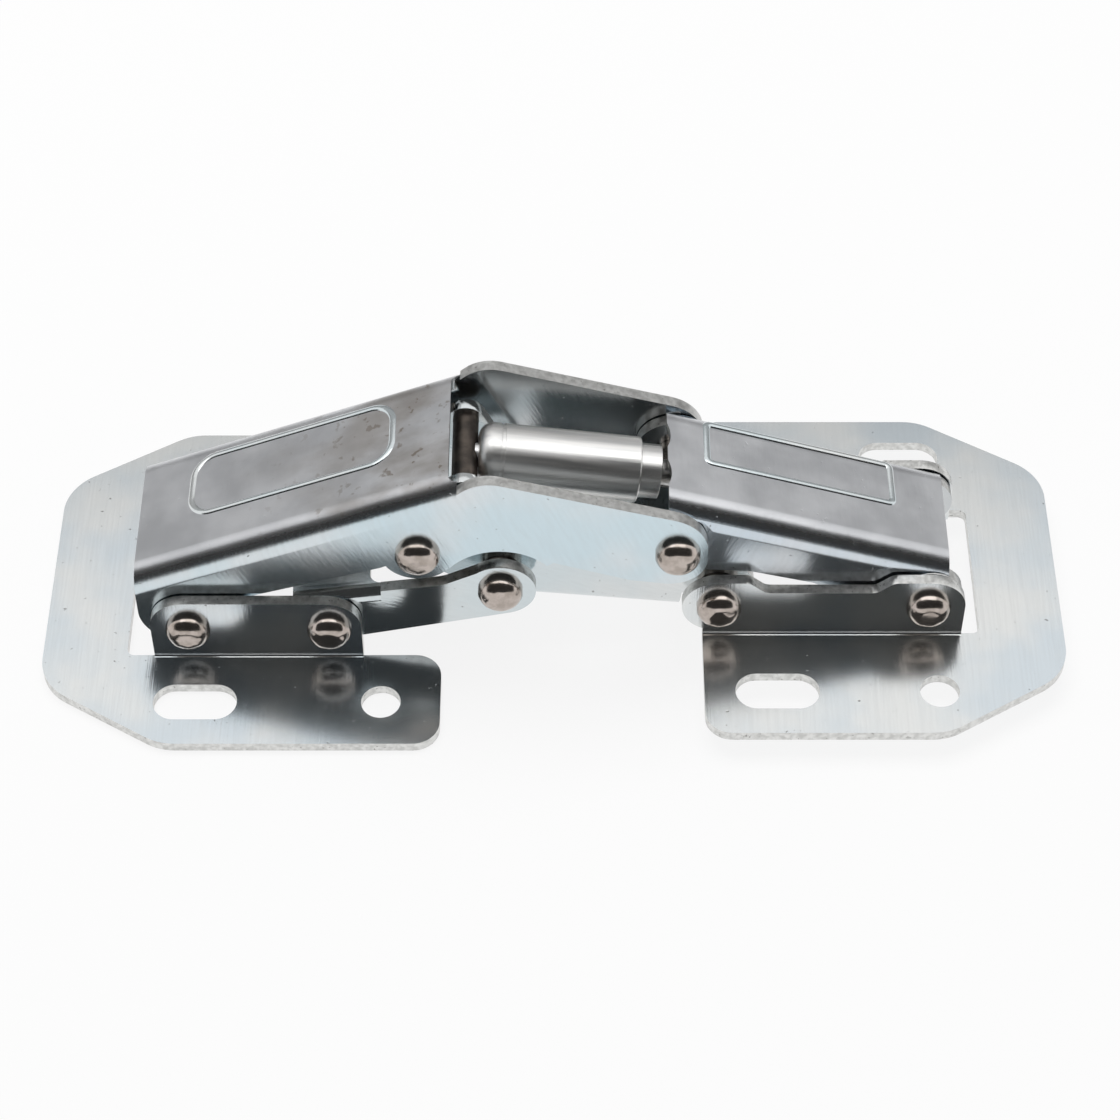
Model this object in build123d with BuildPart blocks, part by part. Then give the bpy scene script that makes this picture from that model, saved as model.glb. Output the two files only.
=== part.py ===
"""Non-mortise cabinet hinge with a spring-loaded folding linkage, shown fully open.

Millimetres, +X along the open hinge, +Z up from the left plate's underside, and Y = 0 on the
plane of symmetry. The front is the side towards -Y.
"""
import os
from math import atan2, cos, degrees, hypot, radians, sin, tan

from build123d import *

# Sheet metal
plate_sheet = 1.2
link_sheet = 1.3
side_play = 0.15
plate_bend = 0.4
link_bend = 2.6

# Both base plates
plate_corner_run = 13.4
plate_corner_rise = 8.0
plate_corner_radius = 6.0
arm_corner_radius = 2.8
window_corner_radius = 0.8
pivot_height = 5.6

# Left base plate
left_end_x = -54.7
left_arm_end_x = -11.9
left_depth = 43.7
left_window_x = -45.7
left_ear_half = 10.05
left_ear_x = (-42.7, -20.3)
left_ear_top = 9.8
left_ear_corner = 3.8

# Right base plate
right_end_x = 54.7
right_arm_end_x = 16.0
right_depth = 44.0
right_window_x = 45.7
right_lift = 2.1
right_lug_radius = 3.9
right_ear_dip = 1.6
right_dip_x = (22.5, 34.1)
right_dip_ramp = 1.8
right_dip_round = 1.2

# Screw holes: each arm has a round hole and a slot
hole_diameter = 4.2
slot_length = 8.9
slot_width = 4.6
screw_edge = 5.5
left_outer_screw_x = -37.9
left_inner_screw_x = -18.2
right_inner_screw_x = 23.7
right_outer_hole_x = 40.8
right_outer_slot_x = 38.8

# Pivots, as X and Z
left_outer_pivot = (-38.7, pivot_height)
left_inner_pivot = (-23.7, pivot_height)
crank_pivot = (-14.0, 16.3)
link_pivot = (-5.5, 10.4)
elbow_pivot = (13.0, 16.3)
right_inner_pivot = (17.6, right_lift + pivot_height)
right_outer_pivot = (39.8, right_lift + pivot_height)

# Main channel
main_web_start = (-44.0, 12.3)
main_peak = (-7.5, 27.65)
main_tail_end = (16.1, 20.6)
main_web_end_x = -10.6
main_window_round = 0.9
main_window_drop = 1.1
main_foot_z = 1.8
main_foot_width = 8.5
main_foot_radius = 5.0
main_heel_radius = 3.2
main_belly = ((-32.6, 9.3), (-17.9, 14.2))
main_throat = ((0.1, 15.0), (8.1, 12.2), (11.9, 11.6))
main_lobe_radius = 3.85
main_notch_radius = 6.4
main_end_radius = 3.8
main_end_top_radius = 5.0
main_crown_radius = 4.0
main_belly_radius = 3.5

# Cross channel
cross_web_start = (12.0, 22.4)
cross_web_end = (41.8, 12.55)
cross_belly_radius = 3.0
cross_elbow_radius = 4.1
cross_lug_radius = 3.7
cross_belly = ((27.5, 10.0), (20.8, 11.9), (14.0, 12.4))
scallop_depth = 0.35
scallop_radius = 4.0
scallop_half = 2.6

# Lower link
lower_web_start = (-27.5, 8.9)
lower_web_end = (-19.3, 10.15)
lower_waist = (-11.5, 11.35)
lower_bend = 1.8
lower_window_round = 1.2
lower_heel_radius = 3.3
lower_eye_radius = 3.75

# Bell crank
crank_web_drop = 4.4
crank_web_run = (3.6, 19.6)
crank_arm_rise = 3.6
crank_eye_radius = 3.85
crank_hub_radius = 3.6
crank_horn_radius = 2.0
crank_bend = 1.9

# Rivets
shank_radius = 1.45
head_radius = 2.35
head_rim = 0.45
head_height = 1.65
head_flat_radius = 0.9
tail_radius = 1.75
tail_height = 0.8
shoulder_radius = 2.2
bore_play = 0.05
end_play = 0.05
open_pivot_gap = 0.1

# Spring capsule between two cross pins, runs measured from the spring pin
spring_pin_at = (-9.1, 22.4)
seat_pin_at = (14.3, 19.0)
spring_pin_radius = 1.35
seat_pin_radius = 1.0
saddle_play = 0.05
barrel_radius = 3.5
barrel_nub_radius = 1.2
barrel_nub_run = 0.9
barrel_run = (1.3, 18.2)
barrel_shoulder = 1.5
barrel_groove_run = (3.5, 3.9)
barrel_groove_depth = 0.12
barrel_floor = 4.6
barrel_wall = 0.35
barrel_lip = 0.25
plunger_play = 0.3
plunger_wall = 0.45
plunger_run = (9.0, 20.4)
plunger_floor = 19.5
plunger_nose_radius = 1.35
plunger_nose_end = 22.9
coil_wire_radius = 0.35
coil_play = 0.6
coil_turns = 9

# Layers across the hinge, from the left plate's ears inwards
main_half = left_ear_half - plate_sheet - side_play
right_ear_half = main_half
cross_half = main_half - link_sheet - side_play
crank_half = cross_half - link_sheet - side_play
bore_radius = shank_radius + bore_play

# Rows of screws along the arms
left_screw_row = left_depth / 2 - screw_edge
right_screw_row = right_depth / 2 - screw_edge


def along(start, slope, run):
    """Point at a run from start, on a line of the given slope in degrees."""
    return (start[0] + run * cos(radians(slope)), start[1] + run * sin(radians(slope)))


def at_x(start, slope, x):
    """Point at a given X on a line of the given slope in degrees."""
    return (x, start[1] + (x - start[0]) * tan(radians(slope)))


def slope_of(start, end):
    """Slope in degrees of the line from start to end."""
    return degrees(atan2(end[1] - start[1], end[0] - start[0]))


def cheek_planes(half, sheet):
    """Front planes of the two cheeks whose outer faces are a half width from the middle."""
    front = Plane((0, -half, 0), x_dir=(1, 0, 0), z_dir=(0, -1, 0))
    back = Plane((0, half - sheet, 0), x_dir=(1, 0, 0), z_dir=(0, -1, 0))
    return (front, back)


def section_plane(start, slope):
    """Plane square to a web, local X across the hinge and local Y out of the web's face."""
    heading = (cos(radians(slope)), 0, sin(radians(slope)))
    return Plane((start[0], 0, start[1]), x_dir=(0, 1, 0), z_dir=heading)


os.makedirs("parts", exist_ok=True)

# Left base plate: flat arms, chamfered outer corners
with BuildPart() as left_base_plate:
    with BuildSketch():
        with BuildLine():
            Polyline(
                (left_arm_end_x, left_depth / 2),
                (left_end_x + plate_corner_run, left_depth / 2),
                (left_end_x, left_depth / 2 - plate_corner_rise),
                (left_end_x, plate_corner_rise - left_depth / 2),
                (left_end_x + plate_corner_run, -left_depth / 2),
                (left_arm_end_x, -left_depth / 2),
                close=True,
            )
        make_face()
        fillet(vertices().group_by(Axis.X)[0] + vertices().group_by(Axis.X)[1], plate_corner_radius)
        with Locations(((left_window_x + left_arm_end_x) / 2 + arm_corner_radius, 0)):
            RectangleRounded(
                left_arm_end_x - left_window_x + 2 * arm_corner_radius,
                2 * left_ear_half,
                window_corner_radius,
                mode=Mode.SUBTRACT,
            )
        with Locations((left_outer_screw_x, -left_screw_row), (left_inner_screw_x, left_screw_row)):
            SlotOverall(slot_length, slot_width, mode=Mode.SUBTRACT)
        with Locations((left_inner_screw_x, -left_screw_row), (left_outer_screw_x, left_screw_row)):
            Circle(hole_diameter / 2, mode=Mode.SUBTRACT)
    extrude(amount=plate_sheet)
    arm_ends = edges().filter_by(Axis.Z).group_by(Axis.X)[-1]
    fillet(arm_ends, arm_corner_radius)
    # Ears folded up along the window
    with BuildSketch(Plane((left_ear_x[0], 0, 0), x_dir=(0, 1, 0), z_dir=(1, 0, 0))):
        with BuildLine():
            Polyline(
                (left_ear_half + 2 * plate_sheet, 0),
                (left_ear_half - plate_sheet, 0),
                (left_ear_half - plate_sheet, left_ear_top),
                (left_ear_half, left_ear_top),
                (left_ear_half, plate_sheet),
                (left_ear_half + 2 * plate_sheet, plate_sheet),
                close=True,
            )
        make_face()
        fillet(vertices().sort_by_distance((left_ear_half, plate_sheet))[0], plate_bend)
        fillet(vertices().sort_by_distance((left_ear_half - plate_sheet, 0))[0], plate_bend + plate_sheet)
        mirror(about=Plane.YZ)
    extrude(amount=left_ear_x[1] - left_ear_x[0])
    fillet(edges().filter_by(Axis.Y).group_by(Axis.Z)[-1], left_ear_corner)
    with BuildSketch(Plane.XZ):
        with Locations(left_outer_pivot, left_inner_pivot):
            Circle(shank_radius)
    extrude(amount=left_depth, both=True, mode=Mode.SUBTRACT)
left_base_plate.part.label = "left_base_plate"
export_step(left_base_plate.part, "parts/left_base_plate.step")

# Right base plate: flat arms, chamfered outer corners
with BuildPart() as right_base_plate:
    with BuildSketch(Plane.XY.offset(right_lift)):
        with BuildLine():
            Polyline(
                (right_arm_end_x, right_depth / 2),
                (right_end_x - plate_corner_run, right_depth / 2),
                (right_end_x, right_depth / 2 - plate_corner_rise),
                (right_end_x, plate_corner_rise - right_depth / 2),
                (right_end_x - plate_corner_run, -right_depth / 2),
                (right_arm_end_x, -right_depth / 2),
                close=True,
            )
        make_face()
        fillet(vertices().group_by(Axis.X)[-1] + vertices().group_by(Axis.X)[-2], plate_corner_radius)
        fillet(vertices().group_by(Axis.X)[0], arm_corner_radius)
        with Locations(((right_window_x + right_arm_end_x) / 2 - window_corner_radius, 0)):
            RectangleRounded(
                right_window_x - right_arm_end_x + 2 * window_corner_radius,
                2 * right_ear_half,
                window_corner_radius,
                mode=Mode.SUBTRACT,
            )
        with Locations((right_inner_screw_x, -right_screw_row), (right_outer_slot_x, right_screw_row)):
            SlotOverall(slot_length, slot_width, mode=Mode.SUBTRACT)
        with Locations((right_outer_hole_x, -right_screw_row), (right_inner_screw_x, right_screw_row)):
            Circle(hole_diameter / 2, mode=Mode.SUBTRACT)
    extrude(amount=plate_sheet)
    # Ears: the fold along the window, then the two lugs with a lowered middle
    with BuildSketch(Plane((right_arm_end_x, 0, right_lift), x_dir=(0, 1, 0), z_dir=(1, 0, 0))):
        with BuildLine():
            Polyline(
                (right_ear_half + 2 * plate_sheet, 0),
                (right_ear_half - plate_sheet, 0),
                (right_ear_half - plate_sheet, pivot_height),
                (right_ear_half, pivot_height),
                (right_ear_half, plate_sheet),
                (right_ear_half + 2 * plate_sheet, plate_sheet),
                close=True,
            )
        make_face()
        fillet(vertices().sort_by_distance((right_ear_half, plate_sheet))[0], plate_bend)
        fillet(vertices().sort_by_distance((right_ear_half - plate_sheet, 0))[0], plate_bend + plate_sheet)
        mirror(about=Plane.YZ)
    extrude(amount=right_outer_pivot[0] + right_lug_radius - right_arm_end_x)
    with BuildSketch(*cheek_planes(right_ear_half, plate_sheet)):
        right_ear_top = right_outer_pivot[1] + right_lug_radius
        with BuildLine():
            Polyline(
                right_inner_pivot,
                (right_inner_pivot[0], right_ear_top),
                (right_dip_x[0] - right_dip_ramp, right_ear_top),
                (right_dip_x[0], right_ear_top - right_ear_dip),
                (right_dip_x[1], right_ear_top - right_ear_dip),
                (right_dip_x[1] + right_dip_ramp, right_ear_top),
                (right_outer_pivot[0], right_ear_top),
                right_outer_pivot,
                close=True,
            )
        make_face()
        inner_corners = vertices().filter_by_position(
            Axis.X, right_dip_x[0] - right_dip_ramp - 0.1, right_dip_x[1] + right_dip_ramp + 0.1
        )
        fillet(inner_corners, right_dip_round)
        with Locations(right_inner_pivot, right_outer_pivot):
            Circle(right_lug_radius)
    extrude(amount=-plate_sheet)
    with BuildSketch(Plane.XZ):
        with Locations(right_inner_pivot, right_outer_pivot):
            Circle(shank_radius)
    extrude(amount=right_depth, both=True, mode=Mode.SUBTRACT)
right_base_plate.part.label = "right_base_plate"
export_step(right_base_plate.part, "parts/right_base_plate.step")

# Main channel: web with its two bends, cut out at the spring window
main_web_slope = slope_of(main_web_start, main_peak)
with BuildPart() as main_channel:
    with BuildSketch(section_plane(main_web_start, main_web_slope)):
        with Locations((0, -link_bend)):
            Rectangle(2 * main_half, 2 * link_bend)
        with Locations((0, -link_bend - link_sheet)):
            Rectangle(2 * (main_half - link_sheet), 2 * link_bend, mode=Mode.SUBTRACT)
        fillet(vertices().group_by(Axis.Y)[-1], link_bend)
        fillet(vertices().group_by(Axis.Y)[-2], link_bend - link_sheet)
    extrude(amount=2 * (main_web_end_x - main_web_start[0]), both=True)
    main_bend_end_x = main_web_end_x + main_window_round
    with BuildSketch(Plane.XZ):
        with BuildLine():
            Polyline(
                (main_web_start[0], main_foot_z),
                (main_bend_end_x, main_foot_z),
                (main_bend_end_x, 2 * main_peak[1]),
                (main_web_start[0], 2 * main_peak[1]),
                close=True,
            )
        make_face()
    extrude(amount=left_depth, both=True, mode=Mode.INTERSECT)
    with BuildSketch():
        with Locations((main_web_end_x + 2 * main_window_round, 0)):
            RectangleRounded(4 * main_window_round, 2 * (main_half - link_sheet), main_window_round)
    extrude(amount=2 * main_peak[1], mode=Mode.SUBTRACT)
    # Cheeks, with a notch for the link's eye
    main_edge_drop = 1.5 * link_bend
    main_bend_start = at_x(main_web_start, main_web_slope, 2 * main_web_start[0])
    main_bend_end = at_x(main_web_start, main_web_slope, main_bend_end_x)
    main_toe = (main_web_start[0], main_foot_z)
    main_heel = (main_web_start[0] + main_foot_width, main_foot_z)
    main_chin = (main_tail_end[0], main_throat[2][1])
    with BuildSketch(*cheek_planes(main_half, link_sheet)):
        with BuildLine():
            Polyline(
                main_web_start,
                (main_bend_end[0], main_bend_end[1] - main_window_drop),
                main_peak,
                main_tail_end,
                main_chin,
                main_throat[2],
                main_throat[1],
                main_throat[0],
                link_pivot,
                crank_pivot,
                main_belly[1],
                main_belly[0],
                main_heel,
                main_toe,
                close=True,
            )
        make_face()
        fillet(vertices().sort_by_distance(main_tail_end)[0], main_end_top_radius)
        fillet(vertices().sort_by_distance(main_chin)[0], main_end_radius)
        fillet(vertices().sort_by_distance(main_toe)[0], main_foot_radius)
        fillet(vertices().sort_by_distance(main_heel)[0], main_heel_radius)
        fillet(vertices().sort_by_distance(main_belly[0])[0], main_belly_radius)
        fillet(vertices().sort_by_distance(main_peak)[0], main_crown_radius)
        with Locations(crank_pivot):
            Circle(main_lobe_radius)
        with Locations(link_pivot):
            Circle(main_notch_radius, mode=Mode.SUBTRACT)
        with BuildLine():
            Polyline(
                main_bend_start,
                main_bend_end,
                (main_bend_end[0], main_bend_end[1] - main_edge_drop),
                (main_bend_start[0], main_bend_start[1] - main_edge_drop),
                close=True,
            )
        make_face(mode=Mode.SUBTRACT)
    extrude(amount=-link_sheet)
    with BuildSketch(Plane.XZ):
        with Locations(left_outer_pivot):
            Circle(bore_radius)
        with Locations(crank_pivot, elbow_pivot):
            Circle(shank_radius)
    extrude(amount=left_depth, both=True, mode=Mode.SUBTRACT)
main_channel.part.label = "main_channel"
export_step(main_channel.part, "parts/main_channel.step")

# Cross channel: web with its two bends and a scalloped inner end
cross_web_slope = slope_of(cross_web_start, cross_web_end)
with BuildPart() as cross_channel:
    with BuildSketch(section_plane(cross_web_start, cross_web_slope)):
        with Locations((0, -link_bend)):
            Rectangle(2 * cross_half, 2 * link_bend)
        with Locations((0, -link_bend - link_sheet)):
            Rectangle(2 * (cross_half - link_sheet), 2 * link_bend, mode=Mode.SUBTRACT)
        fillet(vertices().group_by(Axis.Y)[-1], link_bend)
        fillet(vertices().group_by(Axis.Y)[-2], link_bend - link_sheet)
    extrude(amount=2 * (cross_web_end[0] - cross_web_start[0]), both=True)
    with BuildSketch(Plane.XZ):
        with BuildLine():
            Polyline(
                (cross_web_start[0], 0),
                (cross_web_end[0], 0),
                (cross_web_end[0], 2 * cross_web_start[1]),
                (cross_web_start[0], 2 * cross_web_start[1]),
                close=True,
            )
        make_face()
    extrude(amount=left_depth, both=True, mode=Mode.INTERSECT)
    with BuildSketch():
        with Locations(
            (cross_web_start[0] + scallop_depth - scallop_radius, scallop_half),
            (cross_web_start[0] + scallop_depth - scallop_radius, -scallop_half),
        ):
            Circle(scallop_radius)
    extrude(amount=2 * cross_web_start[1], mode=Mode.SUBTRACT)
    # Cheeks with a lug at each pivot
    with BuildSketch(*cheek_planes(cross_half, link_sheet)):
        cross_edge_drop = 1.5 * link_bend
        lug_x, lug_z = right_outer_pivot
        with BuildLine():
            Polyline(
                (cross_web_start[0], cross_web_start[1] - cross_edge_drop),
                (cross_web_end[0], cross_web_end[1] - cross_edge_drop),
                (lug_x + 0.94 * cross_lug_radius, lug_z + 0.34 * cross_lug_radius),
                right_outer_pivot,
                (lug_x - 0.57 * cross_lug_radius, lug_z - 0.82 * cross_lug_radius),
                cross_belly[0],
                cross_belly[1],
                cross_belly[2],
                elbow_pivot,
                (cross_web_start[0], elbow_pivot[1]),
                close=True,
            )
        make_face()
        fillet(vertices().sort_by_distance(cross_belly[1])[0], cross_belly_radius)
        with Locations(right_outer_pivot):
            Circle(cross_lug_radius)
        with Locations(elbow_pivot):
            Circle(cross_elbow_radius)
    extrude(amount=-link_sheet)
    with BuildSketch(Plane.XZ):
        with Locations(elbow_pivot, right_outer_pivot):
            Circle(bore_radius)
        with Locations(seat_pin_at):
            Circle(seat_pin_radius)
    extrude(amount=left_depth, both=True, mode=Mode.SUBTRACT)
cross_channel.part.label = "cross_channel"
export_step(cross_channel.part, "parts/cross_channel.step")

# Lower link: short web over the heel, eye at the other end
lower_web_slope = slope_of(lower_web_start, lower_web_end)
with BuildPart() as lower_link:
    with BuildSketch(section_plane(lower_web_start, lower_web_slope)):
        with Locations((0, -lower_bend)):
            Rectangle(2 * main_half, 2 * lower_bend)
        with Locations((0, -lower_bend - link_sheet)):
            Rectangle(2 * (main_half - link_sheet), 2 * lower_bend, mode=Mode.SUBTRACT)
        fillet(vertices().group_by(Axis.Y)[-1], lower_bend)
        fillet(vertices().group_by(Axis.Y)[-2], lower_bend - link_sheet)
    extrude(amount=2 * (lower_web_end[0] - lower_web_start[0]), both=True)
    lower_bend_end_x = lower_web_end[0] + lower_window_round
    with BuildSketch(Plane.XZ):
        with BuildLine():
            Polyline(
                (lower_web_start[0], 0),
                (lower_bend_end_x, 0),
                (lower_bend_end_x, 2 * lower_web_start[1]),
                (lower_web_start[0], 2 * lower_web_start[1]),
                close=True,
            )
        make_face()
    extrude(amount=left_depth, both=True, mode=Mode.INTERSECT)
    with BuildSketch():
        with Locations((lower_web_end[0] + 2 * lower_window_round, 0)):
            RectangleRounded(4 * lower_window_round, 2 * (main_half - link_sheet), lower_window_round)
    extrude(amount=2 * lower_web_end[1], mode=Mode.SUBTRACT)
    # Cheeks from the heel to the eye
    lower_edge_drop = 1.5 * lower_bend
    lower_bend_end = at_x(lower_web_start, lower_web_slope, lower_bend_end_x)
    lower_heading = slope_of(left_inner_pivot, link_pivot)
    with BuildSketch(*cheek_planes(main_half, link_sheet)):
        with BuildLine():
            Polyline(
                (lower_web_start[0], lower_web_start[1] - lower_edge_drop),
                (lower_bend_end[0], lower_bend_end[1] - lower_edge_drop),
                lower_bend_end,
                lower_waist,
                along(link_pivot, lower_heading + 90, lower_eye_radius),
                link_pivot,
                along(link_pivot, lower_heading - 90, lower_eye_radius),
                along(left_inner_pivot, lower_heading - 90, lower_heel_radius),
                (lower_web_start[0], left_inner_pivot[1]),
                close=True,
            )
        make_face()
        fillet(vertices().sort_by_distance(lower_waist)[0], lower_eye_radius)
        with Locations(left_inner_pivot):
            Circle(lower_heel_radius)
        with Locations(link_pivot):
            Circle(lower_eye_radius)
    extrude(amount=-link_sheet)
    with BuildSketch(Plane.XZ):
        with Locations(left_inner_pivot):
            Circle(bore_radius)
        with Locations(link_pivot):
            Circle(shank_radius)
    extrude(amount=left_depth, both=True, mode=Mode.SUBTRACT)
lower_link.part.label = "lower_link"
export_step(lower_link.part, "parts/lower_link.step")

# Bell crank: web along the underside of the long arm
with BuildPart() as bell_crank:
    crank_heading = slope_of(link_pivot, right_inner_pivot)
    crank_web_start = along(
        along(link_pivot, crank_heading, crank_web_run[0]), crank_heading - 90, crank_web_drop
    )
    with BuildSketch(section_plane(crank_web_start, crank_heading + 180)):
        with Locations((0, -crank_bend)):
            Rectangle(2 * crank_half, 2 * crank_bend)
        with Locations((0, -crank_bend - link_sheet)):
            Rectangle(2 * (crank_half - link_sheet), 2 * crank_bend, mode=Mode.SUBTRACT)
        fillet(vertices().group_by(Axis.Y)[-1], crank_bend)
        fillet(vertices().group_by(Axis.Y)[-2], crank_bend - link_sheet)
    extrude(amount=crank_web_run[0] - crank_web_run[1])
    # Cheeks: the long arm, then the horn with the hub
    with BuildSketch(*cheek_planes(crank_half, link_sheet)):
        with BuildLine():
            Polyline(
                along(link_pivot, crank_heading + 90, crank_arm_rise),
                along(right_inner_pivot, crank_heading + 90, crank_arm_rise),
                along(right_inner_pivot, crank_heading - 90, crank_web_drop - 1.5 * crank_bend),
                along(link_pivot, crank_heading - 90, crank_web_drop - 1.5 * crank_bend),
                close=True,
            )
        make_face()
        with Locations(link_pivot, right_inner_pivot):
            Circle(crank_eye_radius)
    extrude(amount=-link_sheet)
    with BuildSketch(*cheek_planes(crank_half, link_sheet)):
        with Locations(link_pivot):
            Circle(crank_eye_radius)
        with Locations(crank_pivot):
            Circle(crank_hub_radius)
        with Locations(spring_pin_at):
            Circle(crank_horn_radius)
        make_hull()
    extrude(amount=-link_sheet)
    with BuildSketch(Plane.XZ):
        with Locations(crank_pivot, link_pivot, right_inner_pivot):
            Circle(bore_radius)
        with Locations(spring_pin_at):
            Circle(spring_pin_radius)
    extrude(amount=left_depth, both=True, mode=Mode.SUBTRACT)
bell_crank.part.label = "bell_crank"
export_step(bell_crank.part, "parts/bell_crank.step")

# Rivets: one on the front and one on the back of every pivot.
# Each row: pivot, seat of the head, sheet it is fixed in, end of the shoulder, seat of the tail
rivet_rows = {
    "left_outer": (left_outer_pivot, left_ear_half, plate_sheet, None, main_half - link_sheet),
    "left_inner": (left_inner_pivot, left_ear_half, plate_sheet, None, main_half - link_sheet),
    "crank": (crank_pivot, main_half, link_sheet, crank_half + end_play, crank_half - link_sheet),
    "link": (link_pivot, main_half, link_sheet, crank_half + open_pivot_gap, None),
    "elbow": (elbow_pivot, main_half, link_sheet, None, cross_half - link_sheet),
    "right_inner": (right_inner_pivot, right_ear_half, plate_sheet, crank_half + open_pivot_gap, None),
    "right_outer": (right_outer_pivot, right_ear_half, plate_sheet, None, cross_half - link_sheet),
}
for rivet_name, (pivot, seat, sheet, shoulder_end, tail_seat) in rivet_rows.items():
    outline = [(head_radius, seat + head_rim), (head_radius, seat), (shank_radius, seat)]
    if shoulder_end:
        outline += [
            (shank_radius, seat - sheet),
            (shoulder_radius, seat - sheet),
            (shoulder_radius, shoulder_end),
        ]
    if tail_seat:
        outline += [
            (shank_radius, shoulder_end or seat - sheet),
            (shank_radius, tail_seat - end_play),
            (tail_radius, tail_seat - end_play),
            (tail_radius, tail_seat - end_play - tail_height),
        ]
    outline += [(0, outline[-1][1]), (0, seat + head_height), (head_flat_radius, seat + head_height)]
    for side_name, side in (("front", -1), ("back", 1)):
        with BuildPart() as rivet:
            with BuildSketch(Plane((pivot[0], 0, pivot[1]), x_dir=(1, 0, 0), z_dir=(0, 0, 1))):
                with BuildLine():
                    Polyline(*[(r, side * y) for r, y in outline])
                    ThreePointArc(
                        (head_flat_radius, side * (seat + head_height)),
                        (0.87 * head_radius, side * (seat + 0.75 * head_height)),
                        (head_radius, side * (seat + head_rim)),
                    )
                make_face()
            revolve(axis=Axis((pivot[0], 0, pivot[1]), (0, 1, 0)))
        rivet.part.label = f"{rivet_name}_rivet_{side_name}"
        export_step(rivet.part, f"parts/{rivet_name}_rivet_{side_name}.step")

# Spring pin: plain cross pin in the bell crank's horns
with BuildPart() as spring_pin:
    with BuildSketch(Plane.XZ):
        with Locations(spring_pin_at):
            Circle(spring_pin_radius)
    extrude(amount=crank_half, both=True)
spring_pin.part.label = "spring_pin"
export_step(spring_pin.part, "parts/spring_pin.step")

# Seat pin: cross pin under the cross channel's web
with BuildPart() as seat_pin:
    with BuildSketch(Plane.XZ):
        with Locations(seat_pin_at):
            Circle(seat_pin_radius)
    extrude(amount=cross_half, both=True)
seat_pin.part.label = "seat_pin"
export_step(seat_pin.part, "parts/seat_pin.step")

# Spring capsule axis, from the spring pin to the seat pin
capsule_slope = slope_of(spring_pin_at, seat_pin_at)
capsule_length = hypot(seat_pin_at[0] - spring_pin_at[0], seat_pin_at[1] - spring_pin_at[1])
capsule_heading = (cos(radians(capsule_slope)), 0, sin(radians(capsule_slope)))
capsule_plane = Plane((spring_pin_at[0], 0, spring_pin_at[1]), x_dir=capsule_heading, z_dir=(0, -1, 0))
capsule_axis = Axis((spring_pin_at[0], 0, spring_pin_at[1]), capsule_heading)
barrel_bore = barrel_radius - barrel_wall
plunger_radius = barrel_bore - plunger_play
plunger_bore = plunger_radius - plunger_wall

# Spring barrel: closed end on a nub that straddles the spring pin
with BuildPart() as spring_barrel:
    with BuildSketch(capsule_plane):
        with BuildLine():
            Polyline(
                (barrel_nub_run, 0),
                (barrel_nub_run, barrel_nub_radius),
                (barrel_run[0], barrel_nub_radius),
                (barrel_run[0], barrel_radius),
                (barrel_run[1], barrel_radius),
                (barrel_run[1], barrel_bore),
                (barrel_floor, barrel_bore),
                (barrel_floor, 0),
                close=True,
            )
        make_face()
        fillet(vertices().sort_by_distance((barrel_run[0], barrel_radius))[0], barrel_shoulder)
        fillet(vertices().sort_by_distance((barrel_run[1], barrel_radius))[0], barrel_lip)
        groove_width = barrel_groove_run[1] - barrel_groove_run[0]
        with Locations((sum(barrel_groove_run) / 2, barrel_radius)):
            Rectangle(groove_width, 2 * barrel_groove_depth, mode=Mode.SUBTRACT)
    revolve(axis=capsule_axis)
    with BuildSketch(Plane.XZ):
        with Locations(spring_pin_at):
            Circle(spring_pin_radius + saddle_play)
    extrude(amount=barrel_radius, both=True, mode=Mode.SUBTRACT)
spring_barrel.part.label = "spring_barrel"
export_step(spring_barrel.part, "parts/spring_barrel.step")

# Spring plunger: slides in the barrel, its nose straddles the seat pin
with BuildPart() as spring_plunger:
    with BuildSketch(capsule_plane):
        with BuildLine():
            Polyline(
                (plunger_run[0], plunger_bore),
                (plunger_run[0], plunger_radius),
                (plunger_run[1], plunger_radius),
                (plunger_run[1], plunger_nose_radius),
                (plunger_nose_end, plunger_nose_radius),
                (plunger_nose_end, 0),
                (plunger_floor, 0),
                (plunger_floor, plunger_bore),
                close=True,
            )
        make_face()
    revolve(axis=capsule_axis)
    with BuildSketch(Plane.XZ):
        with Locations(seat_pin_at):
            Circle(seat_pin_radius + saddle_play)
    extrude(amount=barrel_radius, both=True, mode=Mode.SUBTRACT)
spring_plunger.part.label = "spring_plunger"
export_step(spring_plunger.part, "parts/spring_plunger.step")

# Spring coil inside the capsule
coil_radius = plunger_bore - coil_play - coil_wire_radius
coil_start = barrel_floor + coil_wire_radius
coil_height = plunger_floor - coil_wire_radius - coil_start
with BuildPart() as spring_coil:
    coil_foot = capsule_plane.from_local_coords((coil_start, 0, 0))
    with BuildLine() as coil_path:
        Helix(coil_height / coil_turns, coil_height, coil_radius, coil_foot, capsule_heading)
    with BuildSketch(Plane(coil_path.line @ 0, z_dir=coil_path.line % 0)):
        Circle(coil_wire_radius)
    sweep(path=coil_path.line)
spring_coil.part.label = "spring_coil"
export_step(spring_coil.part, "parts/spring_coil.step")
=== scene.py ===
import math
import bmesh
import bpy
from mathutils import Matrix, Vector
from mathutils.bvhtree import BVHTree


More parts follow.
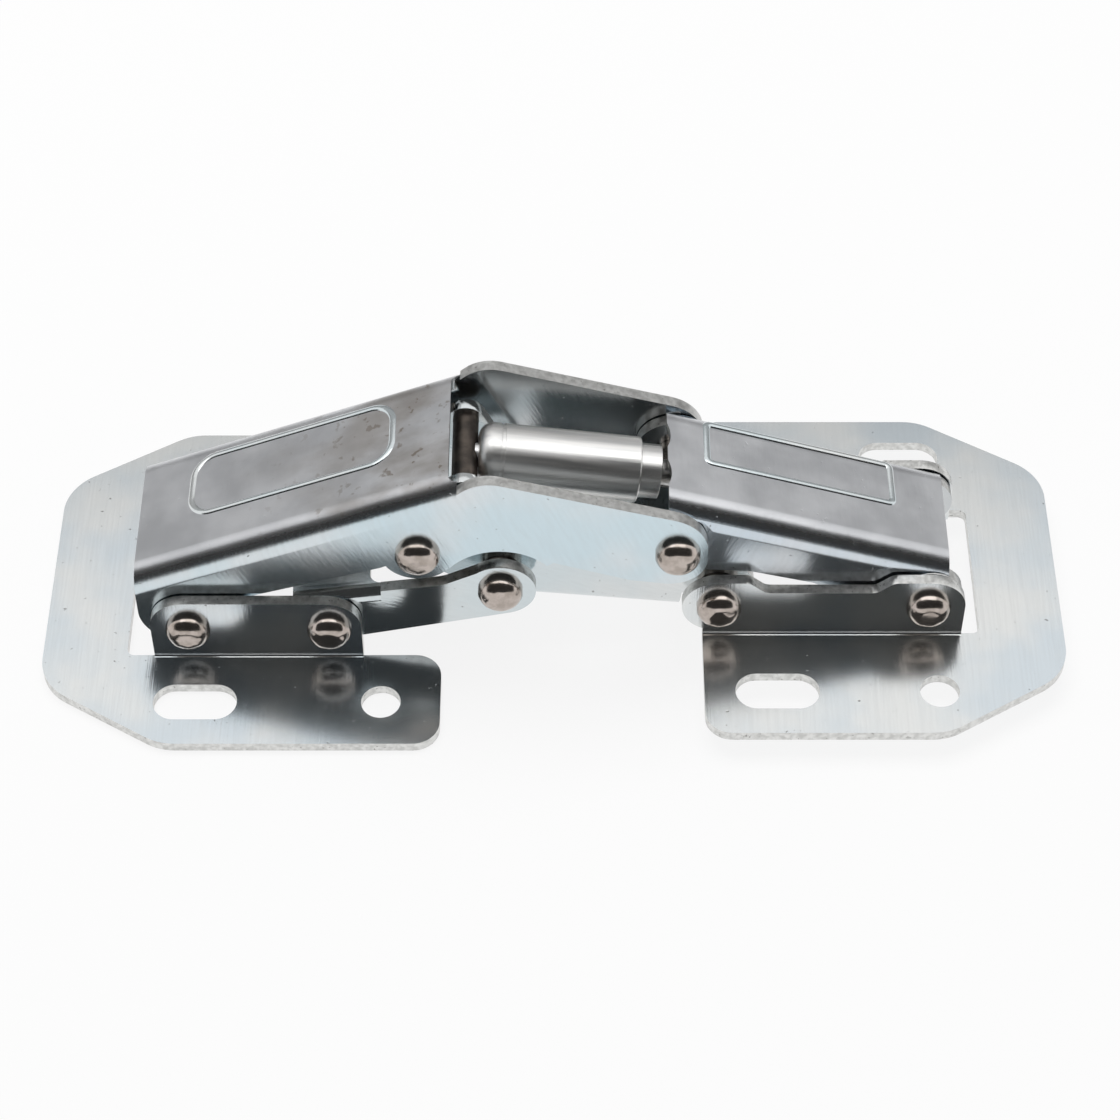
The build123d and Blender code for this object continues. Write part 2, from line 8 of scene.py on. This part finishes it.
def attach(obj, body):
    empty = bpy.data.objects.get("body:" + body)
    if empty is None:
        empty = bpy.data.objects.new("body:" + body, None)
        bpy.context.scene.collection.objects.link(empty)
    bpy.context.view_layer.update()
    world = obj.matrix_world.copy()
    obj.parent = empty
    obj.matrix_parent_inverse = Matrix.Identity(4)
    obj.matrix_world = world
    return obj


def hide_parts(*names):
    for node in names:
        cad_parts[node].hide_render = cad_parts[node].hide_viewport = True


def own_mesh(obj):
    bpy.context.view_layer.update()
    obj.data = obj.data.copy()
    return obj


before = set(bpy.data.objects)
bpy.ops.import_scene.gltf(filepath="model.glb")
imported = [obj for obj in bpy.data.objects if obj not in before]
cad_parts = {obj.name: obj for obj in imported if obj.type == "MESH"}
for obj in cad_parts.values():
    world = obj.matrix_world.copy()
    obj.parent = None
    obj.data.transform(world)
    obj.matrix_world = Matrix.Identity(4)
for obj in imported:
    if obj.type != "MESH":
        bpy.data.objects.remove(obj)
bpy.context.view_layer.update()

# The stage: a white sheet under the hinge, a soft lamp above and behind it, and cloths hung
# around it that only the bright metal mirrors: black in front, grey behind, a bright strip above.
stage = bpy.context.scene
stage.view_settings.view_transform = "Standard"
white = (1, 1, 1, 1)
sky_light = 0.5
paper_glow = 0.85


class Wire:
    """One output of a material's nodes. Sums and products of wires add Math nodes."""

    def __init__(self, socket):
        self.socket = socket

    @staticmethod
    def node(tree, kind, settings, sockets, output=0):
        made = tree.nodes.new(kind)
        for name, value in settings.items():
            setattr(made, name, value)
        for name, value in sockets.items():
            if isinstance(value, Wire):
                tree.links.new(value.socket, made.inputs[name])
            else:
                made.inputs[name].default_value = value
        return Wire(made.outputs[output])

    def math(self, operation, *others):
        values = dict(enumerate((self,) + others))
        return Wire.node(self.socket.id_data, "ShaderNodeMath", {"operation": operation}, values)

    def __add__(self, other):
        return self.math("ADD", other)

    def __radd__(self, other):
        return self.math("ADD", other)

    def __sub__(self, other):
        return self.math("SUBTRACT", other)

    def __rsub__(self, other):
        return (self * -1).math("ADD", other)

    def __mul__(self, other):
        return self.math("MULTIPLY", other)

    def __rmul__(self, other):
        return self.math("MULTIPLY", other)

    def __abs__(self):
        return self.math("ABSOLUTE")

    def step(self, low, high):
        """A ramp from 0 to 1 as the value goes from low to high, flat outside."""
        settings = {"interpolation_type": "SMOOTHSTEP"}
        values = {"Value": self, "From Min": low, "From Max": high}
        return Wire.node(self.socket.id_data, "ShaderNodeMapRange", settings, values)

    def blend(self, first, second):
        """A colour that goes from first to second as this value goes from 0 to 1."""
        values = {0: self, 6: first, 7: second}
        return Wire.node(self.socket.id_data, "ShaderNodeMix", {"data_type": "RGBA"}, values, 2)


def seen(tree):
    """1 for what the camera sees, straight or mirrored, and 0 for light cast on other things."""
    path = tree.nodes.new("ShaderNodeLightPath")
    rays = Wire(path.outputs["Is Camera Ray"]) + Wire(path.outputs["Is Glossy Ray"])
    return (rays + Wire(path.outputs["Is Transmission Ray"])).math("MINIMUM", 1.0)


world = bpy.data.worlds.new("studio")
stage.world = world
world.use_nodes = True
sky = world.node_tree
sky.nodes.clear()
strength = seen(sky) * (1 - sky_light) + sky_light
air = Wire.node(sky, "ShaderNodeBackground", {}, {"Color": white, "Strength": strength})
sky.links.new(air.socket, sky.nodes.new("ShaderNodeOutputWorld").inputs["Surface"])

bpy.ops.mesh.primitive_plane_add(size=6, location=(0, 0, 0))
sheet = bpy.context.object
sheet.name = "white_sheet"
paper = bpy.data.materials.new("white_paper")
paper.use_nodes = True
tree = paper.node_tree
tree.nodes.clear()
matt = Wire.node(tree, "ShaderNodeBsdfDiffuse", {}, {"Color": (0.9, 0.9, 0.9, 1)})
glow = Wire.node(tree, "ShaderNodeEmission", {}, {"Color": white, "Strength": 1.0})
mixed = Wire.node(tree, "ShaderNodeMixShader", {}, {0: seen(tree) * paper_glow, 1: matt, 2: glow})
tree.links.new(mixed.socket, tree.nodes.new("ShaderNodeOutputMaterial").inputs["Surface"])
sheet.data.materials.append(paper)

soft = bpy.data.lights.new("soft_lamp", "AREA")
soft.shape = "RECTANGLE"
soft.size = 0.5
soft.size_y = 0.35
soft.energy = 2.0
lamp = bpy.data.objects.new("soft_lamp", soft)
lamp.location = (-0.05, 0.20, 0.55)
lamp.rotation_euler = (Vector((0, 0, 0)) - lamp.location).to_track_quat("-Z", "Y").to_euler()
lamp.visible_glossy = False
stage.collection.objects.link(lamp)

for cloth_name, cloth_at, cloth_size, low_tone, high_tone in (
    ("black_cloth", (0.0, -0.46, 0.46), (3.2, 1.0), 0.045, 0.045),
    ("grey_cloth", (0.0, 0.495, 0.23), (2.0, 0.45), 0.26, 0.46),
    ("bright_strip", (0.0, 0.02, 0.58), (0.8, 0.26), 1.9, 1.9),
):
    bpy.ops.mesh.primitive_plane_add(size=1, location=cloth_at)
    cloth = bpy.context.object
    cloth.name = cloth_name
    cloth.scale = (*cloth_size, 1)
    cloth.rotation_euler = (-Vector(cloth_at)).to_track_quat("Z", "Y").to_euler()
    cloth.visible_camera = False
    cloth.visible_diffuse = False
    cloth.visible_shadow = False
    weave = bpy.data.materials.new(cloth_name)
    weave.use_nodes = True
    tree = weave.node_tree
    tree.nodes.clear()
    place = Wire.node(tree, "ShaderNodeTexCoord", {}, {}, "Object")
    apart = Wire.node(tree, "ShaderNodeSeparateXYZ", {}, {0: place})
    tone = Wire(apart.socket.node.outputs["Y"]).step(-0.5, 0.2) * (high_tone - low_tone) + low_tone
    glow = Wire.node(tree, "ShaderNodeEmission", {}, {"Color": white, "Strength": tone})
    tree.links.new(glow.socket, tree.nodes.new("ShaderNodeOutputMaterial").inputs["Surface"])
    cloth.data.materials.append(weave)

lens = bpy.data.cameras.new("camera")
lens.lens = 93.66
lens.sensor_width = 36
lens.sensor_fit = "HORIZONTAL"
eye = bpy.data.objects.new("camera", lens)
eye.location = (0.000775, -0.2032, 0.2473)
aim = Vector((0.000775, 0.00427, 0))
eye.rotation_euler = (aim - eye.location).to_track_quat("-Z", "Y").to_euler()
stage.collection.objects.link(eye)
stage.camera = eye

# Base plates: stamped from 1.2 mm steel strip, brushed across the strip, zinc plated bright.
# Their ears are folded up along the window; the shears leave a paler torn edge all round.
plate_sheet = 0.0012
sheet_ease = 0.00018


def eased_copy(node, sheet_thickness, ease):
    """A copy of a CAD solid with its sharp edges eased and its sheared faces marked."""
    weld = 1e-6
    flat_angle = math.radians(0.6)
    sharp_angle = math.radians(38)
    inset = 1e-5
    deep = 1.3 * sheet_thickness
    solid = bmesh.new()
    solid.from_mesh(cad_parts[node].data)
    bmesh.ops.remove_doubles(solid, verts=solid.verts, dist=weld)
    bmesh.ops.dissolve_limit(solid, angle_limit=flat_angle, verts=solid.verts, edges=solid.edges)
    depths = BVHTree.FromBMesh(solid)
    mesh = bpy.data.meshes.new(node + "_eased")
    solid.to_mesh(mesh)
    solid.free()
    mesh.shade_smooth()
    piece = bpy.data.objects.new(node + "_eased", mesh)
    stage.collection.objects.link(piece)
    bevel = piece.modifiers.new("ease", "BEVEL")
    bevel.width = ease
    bevel.segments = 2
    bevel.limit_method = "ANGLE"
    bevel.angle_limit = sharp_angle
    weigh = piece.modifiers.new("weigh", "WEIGHTED_NORMAL")
    weigh.keep_sharp = True
    graph = bpy.context.evaluated_depsgraph_get()
    finished = bpy.data.meshes.new_from_object(piece.evaluated_get(graph), depsgraph=graph)
    piece.modifiers.clear()
    piece.data = finished
    marks = []
    for face in finished.polygons:
        hit = depths.ray_cast(face.center - face.normal * inset, -face.normal)
        marks.append(1.0 if hit[0] and hit[3] > deep else 0.0)
    finished.attributes.new("cut_edge", "FLOAT", "FACE").data.foreach_set("value", marks)
    return piece


class Finish:
    """A metal finish: its tree, shader, and the place of a point in millimetres."""

    def __init__(self, name):
        self.material = bpy.data.materials.new(name)
        self.material.use_nodes = True
        self.tree = self.material.node_tree
        self.shader = self.tree.nodes["Principled BSDF"]
        self.shader.inputs["Metallic"].default_value = 1.0
        place = self.node("ShaderNodeTexCoord", {}, {}, "Object")
        scaled = {0: place, "Scale": 1000.0}
        self.place = self.node("ShaderNodeVectorMath", {"operation": "SCALE"}, scaled)
        apart = self.node("ShaderNodeSeparateXYZ", {}, {0: self.place})
        self.x, self.y, self.z = (Wire(apart.socket.node.outputs[axis]) for axis in "XYZ")

    def node(self, kind, settings, sockets, output=0):
        return Wire.node(self.tree, kind, settings, sockets, output)

    def noise(self, stretch, detail=2.0, turn=(0, 0, 0), shift=(0, 0, 0)):
        """Noise with so many cells to the millimetre along each axis."""
        turned = {"Vector": self.place, "Rotation": turn}
        spot = self.node("ShaderNodeMapping", {"vector_type": "TEXTURE"}, turned)
        spot = self.node("ShaderNodeVectorMath", {"operation": "MULTIPLY"}, {0: spot, 1: stretch})
        spot = self.node("ShaderNodeVectorMath", {"operation": "ADD"}, {0: spot, 1: shift})
        return self.node("ShaderNodeTexNoise", {}, {"Vector": spot, "Scale": 1.0, "Detail": detail})

    def set(self, socket, value):
        self.tree.links.new(value.socket, self.shader.inputs[socket])

    def raise_by(self, height, distance):
        bump = self.node("ShaderNodeBump", {}, {"Height": height, "Distance": distance, "Strength": 1.0})
        self.set("Normal", bump)


def zinc(name, cool, warm, grain, turn, shine, edge, web=None):
    """Bright zinc plating over brushed sheet: cloudy colour, grain, pits and paler cut edges.

    A web, given as a point on it, its slope and the channel's half width, is duller and soiled, and the
    inner faces of its channel get a darker grey as painted shade.
    """
    streak_grey = (0.45, 0.46, 0.47, 1)
    pit_grey = (0.20, 0.19, 0.18, 1)
    torn_dark = (edge * 0.72, edge * 0.72, edge * 0.70, 1)
    torn_pale = (edge, edge, edge * 0.98, 1)
    speck_brown = (0.15, 0.14, 0.13, 1)
    relief = 0.00003
    made = Finish(name)
    cloud = made.noise((0.07, 0.07, 0.07), 3.0).step(0.38, 0.66)
    brush = made.noise(grain, 3.0, turn)
    pits = made.noise((1.5, 1.5, 1.5), 2.0, shift=(7, 3, 5)).step(0.71, 0.76)
    streaks = brush.step(0.35, 0.7)
    mottle = made.noise((1.6, 1.6, 1.6), 4.0, shift=(2, 9, 4))
    specks = made.noise((2.8, 2.8, 2.8), 2.0, shift=(6, 2, 7)).step(0.66, 0.73)
    cut = made.node("ShaderNodeAttribute", {"attribute_name": "cut_edge"}, {}, "Fac")
    colour = cloud.blend(cool, warm)
    colour = (streaks * 0.07).blend(colour, streak_grey)
    colour = (pits * 0.55).blend(colour, pit_grey)
    rough = shine + brush * 0.05 + cloud * 0.03
    height = brush * 0.4 + pits * -0.5
    if web:
        painted_inner_shade = (0.60, 0.62, 0.63, 1)
        satin_dark = (0.55, 0.56, 0.58, 1)
        satin_pale = (0.68, 0.69, 0.71, 1)
        grease = (0.19, 0.15, 0.11, 1)
        soot_start = (-38.0, -14.0)
        soot_end = (6.0, -8.0)
        (web_x, web_z), slope, half = web
        # Painted shade: the faces inside the channel, under the web and on the inner cheeks, are given a
        # darker, greyer colour.
        inside = abs(made.y).step(half - 0.4, half - 0.9)
        colour = inside.blend(colour, painted_inner_shade)
        above = made.z * math.cos(slope) - made.x * math.sin(slope)
        above = above - (web_z * math.cos(slope) - web_x * math.sin(slope))
        flat = above.step(-0.9, -0.15)
        ripple = made.noise((0.17, 0.17, 0.17), 3.0, shift=(5, 5, 1))
        satin = ripple.step(0.3, 0.7).blend(satin_dark, satin_pale)
        colour = flat.blend(colour, satin)
        rough = rough + flat * (ripple * 0.14 + 0.08)
        height = height + flat * ripple * 2.4
        smear = made.noise((0.11, 0.20, 0.11), 5.0, shift=(4, 1, 8)).step(0.38, 0.68)
        dots = made.noise((0.9, 0.9, 0.9), 3.0, shift=(1, 6, 2)).step(0.62, 0.70)
        soot = flat * (smear * 0.55 + dots * 0.45).math("MINIMUM", 0.8)
        soot = soot * made.x.step(*soot_start) * made.x.step(*soot_end)
        colour = soot.blend(colour, grease)
        rough = rough + soot * 0.25
    torn = mottle.step(0.3, 0.7).blend(torn_dark, torn_pale)
    torn = (specks * 0.7).blend(torn, speck_brown)
    colour = cut.blend(colour, torn)
    made.set("Base Color", colour)
    made.set("Roughness", rough + cut * (mottle * 0.2 + 0.06))
    made.raise_by(height + cut * (mottle * 1.4), relief)
    return made.material


plate_zinc = zinc(
    "plate_zinc",
    cool=(0.66, 0.72, 0.76, 1),
    warm=(0.80, 0.81, 0.80, 1),
    grain=(5.0, 0.15, 0.15),
    turn=(0, 0, 0),
    shine=0.16,
    edge=0.80,
)
for node, body in (("left_base_plate", "left_plate"), ("right_base_plate", "right_plate")):
    plate = eased_copy(node, plate_sheet, sheet_ease)
    plate.data.materials.append(plate_zinc)
    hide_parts(node)
    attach(plate, body)

# Bell crank and lower link: inner levers of 1.3 mm plated sheet, folded into short channels
# so that both cheeks turn together on the rivets.
link_sheet = 0.0013
link_zinc = zinc(
    "link_zinc",
    cool=(0.64, 0.70, 0.72, 1),
    warm=(0.72, 0.74, 0.74, 1),
    grain=(0.5, 0.5, 3.0),
    turn=(0, math.radians(20), 0),
    shine=0.12,
    edge=0.66,
)
for node in ("bell_crank", "lower_link"):
    lever = eased_copy(node, link_sheet, sheet_ease)
    lever.data.materials.append(link_zinc)
    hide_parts(node)
    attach(lever, node)

# Spring capsule: a drawn and polished barrel, rolled in at its lip, over a plunger and a coil
# of spring wire. Barrel and plunger each bear on a dark steel cross pin.
turned_ease = 0.00008
wire_ease = 0.00002
no_sheet = 1.0
capsule_slope = math.radians(8.3)

bright_steel = Finish("bright_steel")
streak = bright_steel.noise((0.12, 2.2, 2.2), 3.0, (0, capsule_slope, 0))
steel_colour = streak.step(0.3, 0.7).blend((0.80, 0.80, 0.79, 1), (0.94, 0.93, 0.91, 1))
bright_steel.set("Base Color", steel_colour)
bright_steel.set("Roughness", 0.24 + streak * 0.20)
bright_steel.raise_by(streak, 0.00001)
spring_steel = Finish("spring_steel")
scale = spring_steel.noise((0.8, 0.8, 0.8), 3.0)
spring_steel.set("Base Color", scale.blend((0.20, 0.19, 0.18, 1), (0.42, 0.41, 0.40, 1)))
spring_steel.set("Roughness", 0.25 + scale * 0.2)
dark_pin = Finish("dark_pin")
rust = dark_pin.noise((0.5, 0.5, 0.5), 4.0)
pin_colour = rust.step(0.3, 0.7).blend((0.075, 0.066, 0.06, 1), (0.16, 0.135, 0.115, 1))
dark_pin.set("Base Color", pin_colour)
dark_pin.set("Roughness", 0.30 + rust * 0.25)
for node, body, finish in (
    ("spring_barrel", "spring_barrel", bright_steel),
    ("spring_plunger", "spring_plunger", bright_steel),
    ("spring_pin", "bell_crank", dark_pin),
    ("seat_pin", "cross_channel", dark_pin),
):
    piece = eased_copy(node, no_sheet, turned_ease)
    piece.data.materials.append(finish.material)
    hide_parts(node)
    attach(piece, body)
coil = eased_copy("spring_coil", no_sheet, wire_ease)
coil.data.materials.append(spring_steel.material)
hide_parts("spring_coil")
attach(coil, "spring_barrel")
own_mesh(coil)

# Main and cross channels: 1.3 mm plated sheet pressed into deep channels with wide bends.
# The press leaves a dull web with a raised plain frame on it; handling has soiled the webs.
channel_ease = 0.00022
ridge_radius = 0.0006
ridge_sink = 0.00043
# Each web, in millimetres: a point on it, its slope, and half the channel's width
main_web = ((-44.0, 12.3), math.atan2(27.65 - 12.3, -7.5 + 44.0), 8.7)
cross_web = ((12.0, 22.4), math.atan2(12.55 - 22.4, 41.8 - 12.0), 7.25)


def sized_tree(name, sizes):
    """A Geometry Nodes tree that takes named lengths and a finish, and its inputs as wires."""
    tree = bpy.data.node_groups.new(name, "GeometryNodeTree")
    tree.interface.new_socket("Geometry", in_out="INPUT", socket_type="NodeSocketGeometry")
    for size in sizes:
        tree.interface.new_socket(size, in_out="INPUT", socket_type="NodeSocketFloat")
    tree.interface.new_socket("Finish", in_out="INPUT", socket_type="NodeSocketMaterial")
    tree.interface.new_socket("Geometry", in_out="OUTPUT", socket_type="NodeSocketGeometry")
    given = tree.nodes.new("NodeGroupInput")
    return tree, {socket.name: Wire(socket) for socket in given.outputs if socket.name}


def close_tree(tree, geometry, finish):
    """Make the tree's instances real, give them the finish and hand them out."""
    real = Wire.node(tree, "GeometryNodeRealizeInstances", {}, {0: geometry})
    done = Wire.node(tree, "GeometryNodeSetMaterial", {}, {"Geometry": real, "Material": finish})
    tree.links.new(done.socket, tree.nodes.new("NodeGroupOutput").inputs["Geometry"])


def raised_frame_tree():
    """A rounded rectangle swept with a round ridge, which is then sunk into the web."""
    tree, size = sized_tree("raised_frame", ("Length", "Width", "Corner", "Ridge"))
    sides = {"Width": size["Length"], "Height": size["Width"]}
    around = Wire.node(tree, "GeometryNodeCurvePrimitiveQuadrilateral", {}, sides)
    corners = {"Curve": around, "Radius": size["Corner"], "Count": 10}
    rounded = Wire.node(tree, "GeometryNodeFilletCurve", {"mode": "POLY"}, corners)
    section = {"Resolution": 12, "Radius": size["Ridge"]}
    ridge = Wire.node(tree, "GeometryNodeCurvePrimitiveCircle", {}, section)
    swept = Wire.node(tree, "GeometryNodeCurveToMesh", {}, {"Curve": rounded, "Profile Curve": ridge})
    close_tree(tree, swept, size["Finish"])
    return tree


def grown(name, mesh, tree, values):
    """An object whose mesh the tree has made from the given mesh, left plain."""
    seed = bpy.data.objects.new(name, mesh)
    stage.collection.objects.link(seed)
    modifier = seed.modifiers.new(name, "NODES")
    modifier.node_group = tree
    for item in tree.interface.items_tree:
        if item.in_out == "INPUT" and item.name in values:
            modifier[item.identifier] = values[item.name]
    graph = bpy.context.evaluated_depsgraph_get()
    made = bpy.data.meshes.new_from_object(seed.evaluated_get(graph), depsgraph=graph)
    seed.modifiers.clear()
    seed.data = made
    made.shade_smooth()
    made.set_sharp_from_angle(angle=math.radians(40))
    return seed


frame_tree = raised_frame_tree()
for node, finish_name, web, cool, warm, middle, length, width, corner in (
    (
        "main_channel", "channel_zinc_main", main_web,
        (0.60, 0.71, 0.76, 1), (0.70, 0.74, 0.76, 1), (17.9, 1.9), 23.5, 8.0, 2.6,
    ),
    (
        "cross_channel", "channel_zinc_cross", cross_web,
        (0.60, 0.67, 0.73, 1), (0.70, 0.72, 0.74, 1), (14.9, 2.7), 21.0, 5.4, 0.6,
    ),
):
    (web_x, web_z), slope = web[:2]
    finish = zinc(
        finish_name, cool, warm, grain=(2.6, 0.5, 0.35), turn=(0, -slope, 0), shine=0.16, edge=0.60, web=web
    )
    channel = eased_copy(node, link_sheet, channel_ease)
    channel.data.materials.append(finish)
    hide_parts(node)
    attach(channel, node)
    values = {
        "Length": length / 1000,
        "Width": width / 1000,
        "Corner": corner / 1000,
        "Ridge": ridge_radius,
        "Finish": link_zinc,
    }
    raised = grown(node + "_frame", bpy.data.meshes.new(node + "_frame"), frame_tree, values)
    lay = Matrix.Translation((web_x / 1000, 0, web_z / 1000)) @ Matrix.Rotation(-slope, 4, "Y")
    lay = lay @ Matrix.Translation((middle[0] / 1000, middle[1] / 1000, -ridge_sink))
    raised.data.transform(lay)
    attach(raised, node)

# Rivets: nickel plated, headed over the sheets from outside. The hammered head keeps a small
# flat and shallow facets; inside, a shoulder spaces the levers and a tail holds them.
head_sizes = {
    "Head Radius": 0.00235,
    "Head Rim": 0.00045,
    "Head Height": 0.00165,
    "Flat Radius": 0.0009,
    "Facet Depth": 0.25,
}


def rivet_tree():
    """Heads and round bars set on points that carry a turn, a radius and a length."""
    crown_power = 3.0
    facets = 7
    facet_slope = 0.62
    tree, size = sized_tree("rivets", head_sizes)

    def named(name, kind="FLOAT"):
        return Wire.node(tree, "GeometryNodeInputNamedAttribute", {"data_type": kind}, {"Name": name})

    disc = {
        "Vertices": 56,
        "Side Segments": 1,
        "Fill Segments": 12,
        "Radius": size["Head Radius"],
        "Depth": size["Head Rim"],
    }
    blank = Wire.node(tree, "GeometryNodeMeshCylinder", {"fill_type": "TRIANGLE_FAN"}, disc)
    here = Wire.node(tree, "GeometryNodeInputPosition", {}, {})
    apart = Wire.node(tree, "ShaderNodeSeparateXYZ", {}, {0: here}).socket.node
    x, y, z = (Wire(apart.outputs[axis]) for axis in "XYZ")
    out = (x * x + y * y).math("SQRT")
    share = (out - size["Flat Radius"]) * (size["Head Radius"] - size["Flat Radius"]).math("POWER", -1.0)
    share = share.math("MAXIMUM", 0.0).math("MINIMUM", 1.0)
    rise = size["Head Height"] - size["Head Rim"]
    crown = (1 - share.math("POWER", crown_power)) * rise
    wedge = 2 * math.pi / facets
    angle = y.math("ARCTAN2", x).math("FLOORED_MODULO", wedge) - wedge / 2
    reach = out * angle.math("COSINE")
    plane = rise - (reach - size["Flat Radius"]) * facet_slope
    cut = (crown - plane).math("MAXIMUM", 0.0) * size["Facet Depth"]
    top = z.math("GREATER_THAN", 0.0)
    lift = (crown - cut) * top + size["Head Rim"] * 0.5
    up = Wire.node(tree, "ShaderNodeCombineXYZ", {}, {"Z": lift})
    head = Wire.node(tree, "GeometryNodeSetPosition", {}, {"Geometry": blank, "Offset": up})
    bar = Wire.node(tree, "GeometryNodeMeshCylinder", {}, {"Vertices": 32, "Radius": 1.0, "Depth": 1.0})
    bar = Wire.node(tree, "GeometryNodeTransform", {}, {"Geometry": bar, "Translation": (0, 0, -0.5)})
    is_head = named("is_head", "BOOLEAN")
    no_head = Wire.node(tree, "FunctionNodeBooleanMath", {"operation": "NOT"}, {0: is_head})
    turn = named("turn", "FLOAT_VECTOR")
    bar_size = {"X": named("bar_radius"), "Y": named("bar_radius"), "Z": named("bar_length")}
    thick = Wire.node(tree, "ShaderNodeCombineXYZ", {}, bar_size)
    points = Wire.node(tree, "GeometryNodeMeshToPoints", {}, {"Mesh": size["Geometry"]})
    set_heads = {"Points": points, "Selection": is_head, "Instance": head, "Rotation": turn}
    set_bars = {"Points": points, "Selection": no_head, "Instance": bar, "Rotation": turn, "Scale": thick}
    joined = tree.nodes.new("GeometryNodeJoinGeometry")
    for setting in (set_heads, set_bars):
        placed = Wire.node(tree, "GeometryNodeInstanceOnPoints", {}, setting)
        tree.links.new(placed.socket, joined.inputs[0])
    close_tree(tree, Wire(joined.outputs[0]), size["Finish"])
    return tree


rivet_nickel = Finish("rivet_nickel")
worn = rivet_nickel.noise((0.9, 0.9, 0.9), 3.0)
dent = rivet_nickel.noise((0.55, 0.55, 0.55), 1.0, shift=(3, 8, 1))
nickel_colour = worn.step(0.35, 0.7).blend((0.52, 0.46, 0.42, 1), (0.40, 0.35, 0.31, 1))
rivet_nickel.set("Base Color", nickel_colour)
rivet_nickel.set("Roughness", 0.12 + worn * 0.12)
rivet_nickel.raise_by(dent, 0.00008)
plated_rivets = rivet_tree()
shank, shoulder, tail = 1.45, 2.2, 1.75
left_seat, inner_seat = 10.05, 8.7
roll_step, roll_side = 0.7, 0.3
# Each rivet, in millimetres: pivot, seat of the head, then the bars inwards as radius and far end
rivets = {
    "left_plate": {
        "left_outer": ((-38.7, 5.6), left_seat, ((shank, 7.35), (tail, 6.55))),
        "left_inner": ((-23.7, 5.6), left_seat, ((shank, 7.35), (tail, 6.55))),
    },
    "main_channel": {
        "crank": ((-14.0, 16.3), inner_seat, ((shank, 7.4), (shoulder, 5.85), (shank, 4.45), (tail, 3.65))),
        "elbow": ((13.0, 16.3), inner_seat, ((shank, 5.9), (tail, 5.1))),
    },
    "lower_link": {"link": ((-5.5, 10.4), inner_seat, ((shank, 7.4), (shoulder, 5.9)))},
    "right_plate": {
        "right_inner": ((17.6, 7.7), inner_seat, ((shank, 7.5), (shoulder, 5.9))),
        "right_outer": ((39.8, 7.7), inner_seat, ((shank, 5.9), (tail, 5.1))),
    },
}
for body, row in rivets.items():
    spots, turns, radii, lengths, heads = [], [], [], [], []
    for number, ((pivot_x, pivot_z), seat, bars) in enumerate(row.values()):
        for side in (-1, 1):
            turn = (side * -math.pi / 2, roll_step * number + roll_side * side, 0)
            far = seat
            for radius, end in ((None, seat),) + bars:
                spots.append((pivot_x / 1000, side * far / 1000, pivot_z / 1000))
                turns.extend(turn)
                heads.append(radius is None)
                radii.append((radius or 1.0) / 1000)
                lengths.append((far - end or 1.0) / 1000)
                far = end
    points = bpy.data.meshes.new(body + "_rivets")
    points.from_pydata(spots, [], [])
    points.attributes.new("turn", "FLOAT_VECTOR", "POINT").data.foreach_set("vector", turns)
    points.attributes.new("bar_radius", "FLOAT", "POINT").data.foreach_set("value", radii)
    points.attributes.new("bar_length", "FLOAT", "POINT").data.foreach_set("value", lengths)
    points.attributes.new("is_head", "BOOLEAN", "POINT").data.foreach_set("value", heads)
    values = {**head_sizes, "Finish": rivet_nickel.material}
    headed = grown(body + "_rivets", points, plated_rivets, values)
    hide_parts(*[name + "_rivet_" + side for name in row for side in ("front", "back")])
    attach(headed, body)
